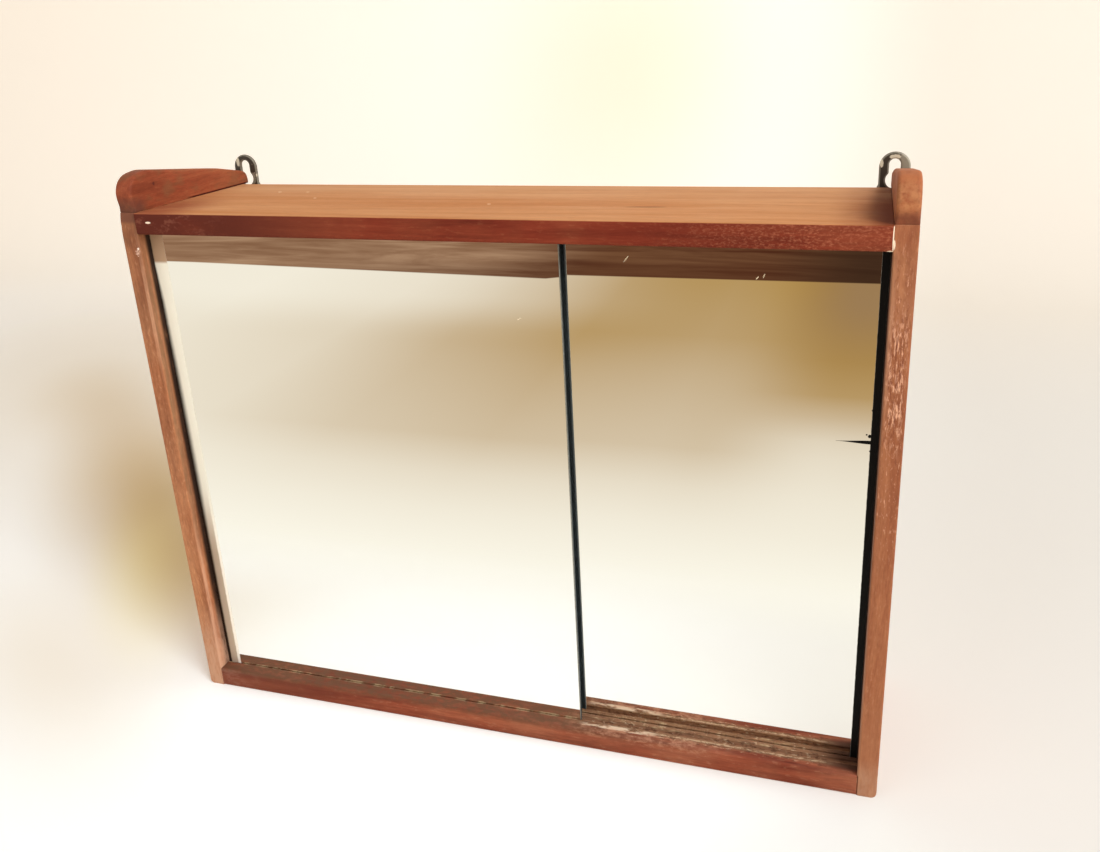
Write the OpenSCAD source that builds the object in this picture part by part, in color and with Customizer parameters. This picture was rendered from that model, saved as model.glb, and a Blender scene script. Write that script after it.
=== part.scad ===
// Wall cabinet in teak with two frameless sliding mirror doors, a display shelf on top
// between two carved ears, and two eye plates at the back to hang it by.
// The frame: X runs along the width, the front faces -Y, the back meets the wall, Z is up.
// The origin is the middle of the base.

/* [Cabinet] */
// Width over the two side boards
body_w = 600; // [520:10:720]
// Height of the side boards, up to the display shelf
body_h = 445; // [380:5:520]
// Depth of the side boards, from the front edge to the back face
body_d = 154; // [134:5:199]

/* [Boards] */
// Thickness of the side boards
side_t = 15; // [13:0.5:20]
// Thickness of the display shelf, which is also the top
top_t = 17; // [16:0.5:22]
// Thickness of the bottom board
bottom_t = 18; // [15:0.5:22]
// Rounding of the long front edges
edge_r = 1.5; // [0.5:0.25:2.5]
// Rounding of the lower outer corners
corner_r = 5; // [2:0.5:8]
// How far the front edge of a side curves back where it meets the ear
nose_back = 3; // [1:0.5:5]
// Height of the stretch over which it curves back
nose_h = 26; // [16:2:40]

/* [Back panel] */
// Thickness of the back panel, which covers the back edges of the shelf and the bottom
back_t = 9; // [6:0.5:12]
// Width of the rebates in the sides that the panel lies in
rebate_w = 7; // [5:0.5:8]
// How far the panel stays below the display shelf's top, and above the base
panel_drop = 3; // [1:0.5:3.5]
// Length of a panel nail
nail_len = 22; // [18:1:28]
// Thickness of a nail's shank
nail_d = 1.4; // [1:0.1:2]
// Width of a nail's head
nail_head_d = 3.6; // [3:0.2:4.6]
// Nails along each side
side_nails = 5; // [3:1:7]
// Nails along the top, and along the bottom
cross_nails = 6; // [4:1:8]

/* [Mirror doors] */
// Thickness of the mirror glass
glass_t = 4; // [3:0.5:5]
// Play of the glass in its groove, on each side
groove_play = 0.5; // [0.3:0.1:0.8]
// Width of the front door
front_door_w = 345.5; // [280:0.5:380]
// Width of the rear door
rear_door_w = 250; // [200:1:300]
// Wood in front of the first groove
lip_t = 11.5; // [8:0.5:14]
// Wood between the two grooves
rail_t = 4; // [3:0.5:6]
// Depth of the grooves in the bottom board
bottom_groove = 4; // [3:0.5:6]
// How far a door stands up into the top groove
top_catch = 3.5; // [2.5:0.5:5]
// Room to lift a door out, above it in the top groove
lift_room = 4.8; // [4:0.2:6]
// Rounding of the glass corners
glass_r = 1.5; // [0.5:0.5:4]

/* [Ears] */
// Height of the ear at its crest
ear_h = 30.5; // [24:0.5:36]
// Distance of the crest from the front edge
ear_crest = 24.5; // [22:0.5:34]
// Radius of the nose
ear_nose_r = 16.5; // [14:0.5:17]
// Height of the nose's foremost point
ear_nose_z = 13; // [11:0.5:13.5]
// Overhang of the nose past its foot
ear_lean = 2.6; // [0.5:0.1:3]
// Height of the ear where its tail rounds off
ear_tail_h = 12; // [10:0.5:16]
// Radius of the rounds behind the crest, as a share of the height there
ear_round = 0.62; // [0.55:0.01:0.75]
// How far its top swells above a straight line from crest to tail
ear_belly = 1.8; // [0:0.1:2.5]
// Rounding of the ear's long edges
ear_edge_r = 2.4; // [1.4:0.2:4]

/* [Dowels] */
// Diameter of every dowel
dowel_d = 6; // [5:0.5:7]
// Length of a corner dowel inside the shelf or the bottom board
dowel_in_board = 16; // [12:1:24]
// Wood left between a corner dowel and the outer face of the side
side_skin = 5; // [4:0.5:6]
// Distance from the grooves to the first corner dowel
dowel_front = 13; // [9:1:16]
// Distance from the back face to the last corner dowel
dowel_back = 35; // [30:1:40]
// Distance of the front ear dowel from the front edge
ear_dowel_y = 20; // [16:1:22]
// Length of an ear dowel inside the ear
ear_dowel_up = 9; // [7:1:10]
// Length of an ear dowel inside the side
ear_dowel_down = 12; // [10:1:20]

/* [Shelves] */
// Thickness of the two loose shelves
shelf_t = 9; // [6:0.5:12]
// Room between the rear door and the shelves
shelf_set_back = 7; // [4:1:16]
// Height of the lower shelf above the bottom board
lower_shelf_h = 130; // [100:5:150]
// Height of the upper shelf above the bottom board
upper_shelf_h = 265; // [220:5:290]
// Diameter of a shelf pin inside the side
pin_d = 5; // [4:0.5:6]
// Depth of a shelf pin inside the side
pin_depth = 8; // [6:0.5:9]
// Diameter of the collar of a shelf pin
pin_collar_d = 9; // [8:0.5:11]
// Thickness of the collar
pin_collar_t = 1.5; // [1:0.25:2]
// Diameter of the end that carries the shelf
pin_end_d = 6; // [5:0.5:7]
// Length of the end that carries the shelf
pin_end = 8; // [6:0.5:10]
// Distance of the pins from the shelf's front and back edges
pin_inset = 22; // [16:1:28]

/* [Hangers] */
// Thickness of the eye plate
hanger_t = 3; // [2:0.5:4]
// Width of the eye
eye_w = 23; // [21:0.2:24]
// Height of the eye above the display shelf
eye_h = 25.5; // [25:0.1:31]
// Radius of the wide part of the keyhole
key_r = 6.5; // [5.5:0.1:6.8]
// Height of its centre above the display shelf
key_z = 4; // [3:0.5:7]
// Half width of the narrow part of the keyhole
slot_r = 4.2; // [3.5:0.1:4.3]
// Metal above the narrow part
eye_crown = 5.2; // [4:0.2:7]
// Distance of the eye's centre from the outer face of the side
eye_inset = 13; // [13:0.5:20]
// Width of the foot that the screws go through
foot_w = 25; // [24.5:0.5:26]
// Height of that foot
foot_h = 14; // [12:0.5:15]
// Rounding of the foot's lower corners
foot_r = 4; // [2:0.5:6]
// Distance between the two screws of a hanger
screw_gap = 16; // [15:0.5:17]
// Thickness of a screw's shank
screw_d = 3.2; // [2.6:0.1:3.6]
// Width of a screw's head
screw_head_d = 6.2; // [5.4:0.2:7]
// Length of a screw
screw_len = 18; // [14:1:24]

/* [Clearances] */
// Gap round dowels, pins, nails and screws in their holes
fit = 0.1; // [0.05:0.05:0.15]
// Gap between a door and what it slides in or stops against
slide = 0.3; // [0.2:0.05:0.4]
// Gap round the back panel and beside the shelves
loose = 0.3; // [0.2:0.05:0.5]

/* [Hidden] */
$fn = 48;

// The outer box and the planes that the pieces meet on
front_y = -(body_d + hanger_t) / 2;
back_y = front_y + body_d;
board_d = body_d - back_t;
panel_y = front_y + board_d;
left_x = -body_w / 2;
inner_x = left_x + side_t;
inner_w = body_w - 2 * side_t;
shelf_z = body_h - top_t;

// The two grooves, measured from the front edge
groove_w = glass_t + 2 * groove_play;
rear_groove = lip_t + groove_w + rail_t;
track_end = rear_groove + groove_w;
top_groove = top_catch + lift_room;
door_z = bottom_t - bottom_groove + slide;
door_h = shelf_z + top_catch - door_z;

// The rows of dowels, nails and shelf pins
dowel_r = dowel_d / 2;
first_dowel = track_end + dowel_front;
last_dowel = body_d - dowel_back;
middle_dowel = (first_dowel + last_dowel) / 2;
corner_dowels = [first_dowel, middle_dowel, last_dowel];
top_dowel_z = body_h - top_t / 2;
bottom_dowel_z = bottom_t / 2;
ear_dowels = [ear_dowel_y, (middle_dowel + last_dowel) / 2];
side_in = side_t - side_skin;
side_nail_x = inner_x - rebate_w / 2;
nail_margin = 40;
nail_head_t = 0.8;
shelf_front = track_end + shelf_set_back;
shelf_d = board_d - shelf_front - loose;
pin_rows = [shelf_front + pin_inset, shelf_front + shelf_d - pin_inset];

// The ear's wheels: its crest, the belly most of the way to the tail, and the tail
crest_r = ear_h / 2 - 1;
tail_r = ear_tail_h * ear_round;
belly_at = 0.7;
belly_y = ear_crest + (body_d - tail_r - ear_crest) * belly_at;
belly_h = ear_h + (ear_tail_h - ear_h) * belly_at + ear_belly;
belly_r = belly_h * ear_round;

// The screws of a hanger
screw_z = body_h - foot_h / 2;
eye_x = left_x + eye_inset;
screw_cone = (screw_head_d - screw_d) / 2;
shoulder_r = foot_r / 2;
slot_w = 0.9;
slot_deep = 0.9;
eps = 0.01;

// Evenly spaced places from first to last
function spread(first, last, count) = [for (i = [0:count - 1]) first + (last - first) * i / (count - 1)];

side_nail_rows = spread(nail_margin, body_h - nail_margin, side_nails);
cross_nail_rows = spread(inner_x + nail_margin, -inner_x - nail_margin, cross_nails);

// A rectangle with rounded corners, from the lower left one and round to the right
module eased(size, radii) {
    difference() {
        square(size);
        corner_cut(radii[0]);
        translate([size[0], 0]) mirror([1, 0]) corner_cut(radii[1]);
        translate(size) rotate(180) corner_cut(radii[2]);
        translate([0, size[1]]) mirror([0, 1]) corner_cut(radii[3]);
    }
}

module corner_cut(r) {
    if (r > 0)
        difference() {
            translate([-eps, -eps]) square(r + eps);
            translate([r, r]) circle(r);
        }
}

// Extrudes an outline drawn in Y and Z along X, from x over a length
module along_x(x, length) {
    translate([x, 0, 0]) rotate([90, 0, 90]) linear_extrude(length) children();
}

// Extrudes an outline drawn in X and Z backwards, from y over a length
module along_y(y, length) {
    translate([0, y + length, 0]) rotate([90, 0, 0]) linear_extrude(length) children();
}

// A round bar that runs along X to the right of x
module bar_x(x, y, z, d, length) {
    translate([x, y, z]) rotate([0, 90, 0]) cylinder(d = d, h = length);
}

// A round bar that runs forwards from y
module bar_y(x, y, z, d, length) {
    translate([x, y, z]) rotate([90, 0, 0]) cylinder(d = d, h = length);
}

// The side board seen from the end: its front edge curves back towards the ear
module side_profile() {
    bend_r = (nose_h * nose_h + nose_back * nose_back) / (2 * nose_back);
    translate([front_y, 0]) {
        square([body_d, body_h - nose_h]);
        translate([nose_back, 0]) square([body_d - nose_back, body_h]);
        intersection() {
            translate([bend_r, body_h - nose_h]) circle(bend_r, $fn = 180);
            translate([0, body_h - nose_h - 1]) square([2 * nose_back, nose_h + 1]);
        }
    }
}

module side_board() {
    difference() {
        intersection() {
            along_x(left_x, side_t) side_profile();
            along_y(front_y, body_d)
                translate([left_x, 0]) eased([side_t, body_h], [corner_r, 0, 0, 0]);
            translate([left_x, front_y, 0])
                linear_extrude(body_h) eased([side_t, body_d], [edge_r, edge_r, 0, 0]);
        }
        side_rebate();
        corner_dowel_bars(top_dowel_z, fit);
        corner_dowel_bars(bottom_dowel_z, fit);
        ear_dowel_bars(fit);
        for (h = [lower_shelf_h, upper_shelf_h])
            for (y = pin_rows)
                bar_x(inner_x - pin_depth - fit, front_y + y, pin_height(h),
                    pin_d + 2 * fit, pin_depth + 1);
        for (z = side_nail_rows)
            nail(side_nail_x, z, fit);
        hanger_screw_bars(fit);
    }
}

// The rebate for the panel runs the whole height of the side
module side_rebate() {
    translate([inner_x - rebate_w, panel_y, -1])
        cube([rebate_w + 1, back_t + 1, body_h + 2]);
}

// The three dowels of one corner, grown by a gap for their holes
module corner_dowel_bars(z, gap) {
    for (y = corner_dowels)
        bar_x(inner_x - side_in - gap, front_y + y, z,
            dowel_d + 2 * gap, side_in + dowel_in_board + 2 * gap);
}

module ear_dowel_bars(gap) {
    for (y = ear_dowels)
        translate([left_x + side_t / 2, front_y + y, body_h - ear_dowel_down - gap])
            cylinder(d = dowel_d + 2 * gap, h = ear_dowel_down + ear_dowel_up + 2 * gap);
}

// A panel nail at x and z, its flat head let into the back of the panel
module nail(x, z, gap) {
    bar_y(x, back_y + gap, z, nail_d + 2 * gap, nail_len + 2 * gap);
    bar_y(x, back_y + gap, z, nail_head_d + 2 * gap, nail_head_t + gap);
}

// Where the axis of a pin lies when its shelf is at height h
function pin_height(h) = bottom_t + h - shelf_t - fit - pin_end_d / 2;

// The top board's section: two deep grooves for the doors
module top_section() {
    translate([front_y, shelf_z])
        difference() {
            eased([board_d, top_t], [edge_r, 0, 0, edge_r]);
            translate([lip_t, -1]) square([groove_w, top_groove + 1]);
            translate([rear_groove, -1]) square([groove_w, top_groove + 1]);
        }
}

module top_board() {
    color("peru")
        difference() {
            along_x(inner_x, inner_w) top_section();
            both_sides() corner_dowel_bars(top_dowel_z, fit);
            both_sides() hanger_screw_bars(fit);
            for (x = cross_nail_rows)
                nail(x, top_dowel_z, fit);
        }
}

// The bottom board's section: two shallow grooves for the doors
module bottom_section() {
    translate([front_y, 0])
        difference() {
            eased([board_d, bottom_t], [edge_r, 0, 0, edge_r]);
            translate([lip_t, bottom_t - bottom_groove]) square([groove_w, bottom_groove + 1]);
            translate([rear_groove, bottom_t - bottom_groove]) square([groove_w, bottom_groove + 1]);
        }
}

module bottom_board() {
    color("sienna")
        difference() {
            along_x(inner_x, inner_w) bottom_section();
            both_sides() corner_dowel_bars(bottom_dowel_z, fit);
            for (x = cross_nail_rows)
                nail(x, bottom_dowel_z, fit);
        }
}

module both_sides() {
    children();
    mirror([1, 0, 0]) children();
}

// The back panel lies in the sides' rebates and is nailed over the back edges of both boards
module back_panel() {
    panel_w = inner_w + 2 * (rebate_w - loose);
    color("tan")
        difference() {
            translate([-panel_w / 2, panel_y, panel_drop])
                cube([panel_w, back_t, body_h - 2 * panel_drop]);
            all_nails(fit);
            both_sides() hanger_screw_bars(fit);
        }
}

module all_nails(gap) {
    for (z = side_nail_rows)
        both_sides() nail(side_nail_x, z, gap);
    for (x = cross_nail_rows) {
        nail(x, bottom_dowel_z, gap);
        nail(x, top_dowel_z, gap);
    }
}

module back_panel_nails() {
    color("gray") all_nails(0);
}

// A wheel across the ear with a rounded rim
module ear_wheel(y, z, r) {
    translate([left_x, front_y + y, body_h + z])
        rotate([0, 90, 0])
            rotate_extrude($fn = 48)
                eased([r, side_t], [0, ear_edge_r, ear_edge_r, 0]);
}

// The carved ear: a round nose that leans out over its foot, a crest and a slim tail.
// Its outline rolls over four wheels, and its foot is cut flat to sit on the side board.
module ear() {
    difference() {
        hull() {
            translate([left_x, front_y + nose_back, body_h])
                cube([side_t, body_d - nose_back - tail_r, eps]);
            ear_wheel(nose_back - ear_lean + ear_nose_r, ear_nose_z, ear_nose_r);
            ear_wheel(ear_crest, ear_h - crest_r, crest_r);
            ear_wheel(belly_y, belly_h - belly_r, belly_r);
            ear_wheel(body_d - tail_r, ear_tail_h - tail_r, tail_r);
        }
        translate([left_x - 1, front_y - 1, body_h - ear_h])
            cube([side_t + 2, body_d + 2, ear_h]);
        ear_dowel_bars(fit);
    }
}

module shelf(h) {
    translate([inner_x + loose + pin_collar_t, front_y + shelf_front, bottom_t + h - shelf_t])
        cube([inner_w - 2 * (loose + pin_collar_t), shelf_d, shelf_t]);
}

// Turned pins: a shank in the side, a collar on its face, and an end under the shelf
module shelf_pins(h) {
    both_sides()
        for (y = pin_rows) {
            bar_x(inner_x - pin_depth, front_y + y, pin_height(h), pin_d, pin_depth + pin_collar_t);
            bar_x(inner_x, front_y + y, pin_height(h), pin_collar_d, pin_collar_t);
            bar_x(inner_x, front_y + y, pin_height(h), pin_end_d, pin_collar_t + pin_end);
        }
}

// A frameless mirror with its corners taken off, standing in the groove at track
module mirror_door(x, width, track) {
    along_y(front_y + track + groove_play, glass_t)
        translate([x, door_z]) eased([width, door_h], [glass_r, glass_r, glass_r, glass_r]);
}

// The eye plate: a keyhole eye above the shelf and a foot with two screws below it
module hanger() {
    arc_z = body_h + eye_h - eye_w / 2;
    difference() {
        along_y(back_y, hanger_t)
            translate([eye_x, 0])
                difference() {
                    union() {
                        translate([0, arc_z]) circle(d = eye_w);
                        translate([-eye_w / 2, screw_z]) square([eye_w, arc_z - screw_z]);
                        translate([-foot_w / 2, body_h - foot_h])
                            eased([foot_w, foot_h], [foot_r, foot_r, shoulder_r, shoulder_r]);
                    }
                    keyhole();
                }
        hanger_screw_bars(fit);
    }
}

module keyhole() {
    slot_top = body_h + eye_h - eye_crown - slot_r;
    translate([0, body_h + key_z]) circle(key_r);
    translate([0, slot_top]) circle(slot_r);
    translate([-slot_r, body_h + key_z]) square([2 * slot_r, slot_top - body_h - key_z]);
}

// The countersunk screws of one hanger, grown by a gap for their holes
module hanger_screw_bars(gap) {
    for (side = [-1, 1])
        translate([eye_x + side * screw_gap / 2, back_y + hanger_t, screw_z])
            rotate([90, 0, 0]) {
                cylinder(d = screw_d + 2 * gap, h = screw_len + gap);
                cylinder(d1 = screw_head_d + 2 * gap, d2 = screw_d + 2 * gap, h = screw_cone);
            }
}

module hanger_screws() {
    difference() {
        hanger_screw_bars(0);
        for (side = [-1, 1])
            translate([eye_x + side * screw_gap / 2, back_y + hanger_t, screw_z])
                cube([screw_head_d + 1, 2 * slot_deep, slot_w], center = true);
    }
}

module left_side() {
    color("sienna") side_board();
}

module right_side() {
    color("sienna") mirror([1, 0, 0]) side_board();
}

module left_ear() {
    color("brown") ear();
}

module right_ear() {
    color("brown") mirror([1, 0, 0]) ear();
}

module left_ear_dowels() {
    color("burlywood") ear_dowel_bars(0);
}

module right_ear_dowels() {
    color("burlywood") mirror([1, 0, 0]) ear_dowel_bars(0);
}

module left_top_dowels() {
    color("burlywood") corner_dowel_bars(top_dowel_z, 0);
}

module right_top_dowels() {
    color("burlywood") mirror([1, 0, 0]) corner_dowel_bars(top_dowel_z, 0);
}

module left_bottom_dowels() {
    color("burlywood") corner_dowel_bars(bottom_dowel_z, 0);
}

module right_bottom_dowels() {
    color("burlywood") mirror([1, 0, 0]) corner_dowel_bars(bottom_dowel_z, 0);
}

module lower_shelf() {
    color("peru") shelf(lower_shelf_h);
}

module upper_shelf() {
    color("peru") shelf(upper_shelf_h);
}

module lower_shelf_pins() {
    color("gold") shelf_pins(lower_shelf_h);
}

module upper_shelf_pins() {
    color("gold") shelf_pins(upper_shelf_h);
}

module front_door() {
    color("lightcyan") mirror_door(inner_x + slide, front_door_w, lip_t);
}

module rear_door() {
    color("lightcyan") mirror_door(-inner_x - slide - rear_door_w, rear_door_w, rear_groove);
}

module left_hanger() {
    color("dimgray") hanger();
}

module right_hanger() {
    color("dimgray") mirror([1, 0, 0]) hanger();
}

module left_hanger_screws() {
    color("silver") hanger_screws();
}

module right_hanger_screws() {
    color("silver") mirror([1, 0, 0]) hanger_screws();
}

left_side();
right_side();
top_board();
bottom_board();
back_panel();
back_panel_nails();
left_ear();
right_ear();
left_ear_dowels();
right_ear_dowels();
left_top_dowels();
right_top_dowels();
left_bottom_dowels();
right_bottom_dowels();
lower_shelf();
upper_shelf();
lower_shelf_pins();
upper_shelf_pins();
front_door();
rear_door();
left_hanger();
right_hanger();
left_hanger_screws();
right_hanger_screws();
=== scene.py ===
import math

import bmesh
import bpy
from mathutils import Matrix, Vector


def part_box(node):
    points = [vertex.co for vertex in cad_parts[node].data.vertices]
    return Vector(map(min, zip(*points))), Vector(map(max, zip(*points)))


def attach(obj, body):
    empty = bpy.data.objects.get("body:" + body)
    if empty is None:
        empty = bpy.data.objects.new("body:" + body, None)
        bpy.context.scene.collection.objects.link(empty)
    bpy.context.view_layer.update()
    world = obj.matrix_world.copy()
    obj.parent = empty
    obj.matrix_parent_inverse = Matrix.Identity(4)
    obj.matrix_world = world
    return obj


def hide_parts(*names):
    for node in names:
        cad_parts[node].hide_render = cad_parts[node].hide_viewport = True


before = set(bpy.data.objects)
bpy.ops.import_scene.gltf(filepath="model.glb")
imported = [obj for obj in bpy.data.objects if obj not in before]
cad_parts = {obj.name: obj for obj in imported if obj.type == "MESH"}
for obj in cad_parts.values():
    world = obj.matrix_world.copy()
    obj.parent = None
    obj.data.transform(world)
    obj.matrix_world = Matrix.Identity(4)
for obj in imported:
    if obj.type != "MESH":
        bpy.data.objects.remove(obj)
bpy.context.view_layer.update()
print("frame loaded:", len(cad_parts), "nodes")


# Small helpers for nodes and meshes

def tone(red, green, blue):  # an sRGB colour, 0 to 255, as the shader wants it
    def linear(value):
        share = value / 255
        return share / 12.92 if share <= 0.04045 else ((share + 0.055) / 1.055) ** 2.4
    return (linear(red), linear(green), linear(blue), 1)


def addNode(tree, kind, inputs=None, **settings):
    node = tree.nodes.new(kind)
    for key, value in settings.items():
        setattr(node, key, value)
    for key, value in (inputs or {}).items():
        if isinstance(value, bpy.types.NodeSocket):
            tree.links.new(value, node.inputs[key])
        else:
            node.inputs[key].default_value = value
    return node


def follow(kind, inputs, **settings):  # adds a node to the tree that its inputs come from
    tree = next(value.id_data for value in inputs.values() if isinstance(value, bpy.types.NodeSocket))
    return addNode(tree, kind, inputs, **settings)


def output(kind, inputs, **settings):  # what such a node gives first
    return follow(kind, inputs, **settings).outputs[0]


def feed(shader, name, value):
    shader.id_data.links.new(value, shader.inputs[name])


def blankMaterial(name):
    material = bpy.data.materials.new(name)
    material.use_nodes = True
    tree = material.node_tree
    tree.nodes.clear()
    return material, tree, addNode(tree, "ShaderNodeTexCoord").outputs["Object"]


def newMaterial(name):
    material, tree, place = blankMaterial(name)
    shader = addNode(tree, "ShaderNodeBsdfPrincipled")
    addNode(tree, "ShaderNodeOutputMaterial", {"Surface": shader.outputs[0]})
    return material, shader, place


def stretched(place, scale, shift=(0, 0, 0)):
    return output("ShaderNodeMapping", {"Vector": place, "Location": shift, "Scale": scale})


def noiseOf(place, scale, detail=2, rough=0.5, warp=0):
    settings = {"Vector": place, "Scale": scale, "Detail": detail, "Roughness": rough, "Distortion": warp}
    return output("ShaderNodeTexNoise", settings)


def ranged(value, low, high, start=0, end=1):  # low..high becomes start..end, eased at both ends
    settings = {"Value": value, "From Min": low, "From Max": high, "To Min": start, "To Max": end}
    return output("ShaderNodeMapRange", settings, interpolation_type="SMOOTHSTEP")


def curved(value, points):  # straight lines through the points (value, result)
    start, end = points[0][0], points[-1][0]
    share = output("ShaderNodeMapRange", {"Value": value, "From Min": start, "From Max": end})
    ramp = follow("ShaderNodeValToRGB", {0: share})
    stops = ramp.color_ramp.elements
    for where, result in points:
        place = (where - start) / (end - start)
        stop = stops[0] if place == 0 else stops[-1] if place == 1 else stops.new(place)
        stop.color = (result, result, result, 1)
    return ramp.outputs[0]


def worked(operation, first, second=0):
    return output("ShaderNodeMath", {0: first, 1: second}, operation=operation)


def product(*values):
    result = values[0]
    for value in values[1:]:
        result = worked("MULTIPLY", result, value)
    return result


def plus(first, second):
    return worked("ADD", first, second)


def minus(first, second):
    return worked("SUBTRACT", first, second)


def larger(first, second):
    return worked("MAXIMUM", first, second)


def mixed(share, first, second, blend="MIX"):
    settings = {0: share, 6: first, 7: second}
    return follow("ShaderNodeMix", settings, data_type="RGBA", blend_type=blend).outputs[2]


def axesOf(place):
    return tuple(follow("ShaderNodeSeparateXYZ", {0: place}).outputs)


def farFrom(place, centre, size, turn):  # 0 at the centre of an ellipsoid, 1 on its skin
    settings = {"Vector": place, "Location": centre, "Rotation": turn, "Scale": size}
    inside = output("ShaderNodeMapping", settings, vector_type="TEXTURE")
    return follow("ShaderNodeVectorMath", {0: inside}, operation="LENGTH").outputs["Value"]


def spot(place, centre, size, turn=(0, 0, 0), ragged=0.5):  # 1 inside a small ellipsoid, 0 outside
    rough = minus(noiseOf(place, 900, 3, 0.6), 0.5)
    far = plus(farFrom(place, centre, size, turn), product(rough, ragged))
    return ranged(far, 0.85, 1.15, 1, 0)


def within(axes, limits):  # 1 inside a box with soft sides; None leaves a side open, lengths in mm
    sides = []
    for axis, limit in zip(axes, limits):
        if limit:
            low, high, blur = limit
            if low is not None:
                sides.append(ranged(axis, (low - blur) / 1000, (low + blur) / 1000))
            if high is not None:
                sides.append(ranged(axis, (high - blur) / 1000, (high + blur) / 1000, 1, 0))
    return product(*sides)


def whereSeen(tree):  # 1 for a ray from the camera, a mirror or glass
    rays = addNode(tree, "ShaderNodeLightPath").outputs
    return larger(larger(rays["Is Camera Ray"], rays["Is Glossy Ray"]), rays["Is Transmission Ray"])


def arrisOf(shader):  # 1 on the faces of a softened edge
    return addNode(shader.id_data, "ShaderNodeAttribute", attribute_name="arris").outputs["Fac"]


def byHeight(shader, height, strength, distance):
    bump = follow("ShaderNodeBump", {"Height": height, "Strength": strength, "Distance": distance})
    feed(shader, "Normal", bump.outputs[0])


def newObject(name, data):
    made = bpy.data.objects.new(name, data)
    bpy.context.scene.collection.objects.link(made)
    return made


def meshOf(shape, name):  # a plain mesh from a finished bmesh
    data = bpy.data.meshes.new(name)
    shape.to_mesh(data)
    shape.free()
    return data


def mergedCopy(node):  # the frame keeps its meshes as loose triangles
    shape = bmesh.new()
    shape.from_mesh(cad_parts[node].data)
    bmesh.ops.remove_doubles(shape, verts=shape.verts, dist=1e-6)
    return shape


def setPiece(name, mesh, body, materials, replaced):
    for material in materials:
        mesh.materials.append(material)
    piece = newObject(name, mesh)
    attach(piece, body)
    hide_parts(*replaced)


# Camera: above the cabinet and a little right of its middle

camera = {
    "place": (0.2652, -0.6944, 0.5688),
    "turn": (70.966, 2.306, 16.264),  # degrees
    "lens": 31.186,
    "shift": (-0.02609, -0.06307),
}
cameraData = bpy.data.cameras.new("camera")
cameraData.lens = camera["lens"]
cameraData.shift_x, cameraData.shift_y = camera["shift"]
cameraObject = newObject("camera", cameraData)
cameraObject.location = camera["place"]
cameraObject.rotation_euler = [math.radians(angle) for angle in camera["turn"]]
bpy.context.scene.camera = cameraObject
bpy.context.scene.view_settings.view_transform = "Standard"
print("camera set")


# Wood

grain = {  # what all the teak shares
    "fibres": 1400, "pores": 1100, "blotches": 9, "rubs": 150,
    "deepAt": 0.33, "midAt": 0.5, "paleAt": 0.68,
    "topDeepAt": 0.35,
    "fibreShades": (0.45, 1.25), "pitShades": (0.45, 1),
    "relief": 0.35, "reliefDepth": 0.0003,
}

# parts that a layer of wear and painted light is kept to
shelfFront = {"y": (None, -77.8, 0.4), "z": (None, 444.5, 0.4)}
shelfTop = {"z": (444.5, None, 0.3)}
boardFront = {"y": (None, -77.5, 1)}
leftBoard, rightBoard = {"x": (None, -284, 2)}, {"x": (284, None, 2)}
leftEar, rightEar = {"x": (None, 0, 1)}, {"x": (280, None, 1)}
paleFleck = (240, 212, 180)


def alongGrain(axis, share):  # shrinks a pattern's place along one axis, which draws it out
    return tuple(share if name == axis else 1 for name in "XYZ")


# a layer of wear, dirt, painted shade or painted light: colour, how much it covers, how fine its patches are,
# where they begin and are full, how far they draw out along the grain, and a box in mm, for each axis from,
# to and softness
def wearAndPaintedLight(colour, share, scale, patchy, along=1, x=None, y=None, z=None, bothSides=False):
    return {"colour": tone(*colour), "share": share, "scale": scale, "patchy": patchy, "along": along,
            "limits": (x, y, z), "bothSides": bothSides}


def dab(colour, at, size, turn=0, share=1, ragged=0.5):  # a single mark, in mm
    at, size = ([value / 1000 for value in lengths] for lengths in (at, size))
    return {"colour": tone(*colour), "at": at, "size": size, "turn": (0, 0, turn), "share": share,
            "ragged": ragged}


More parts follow.
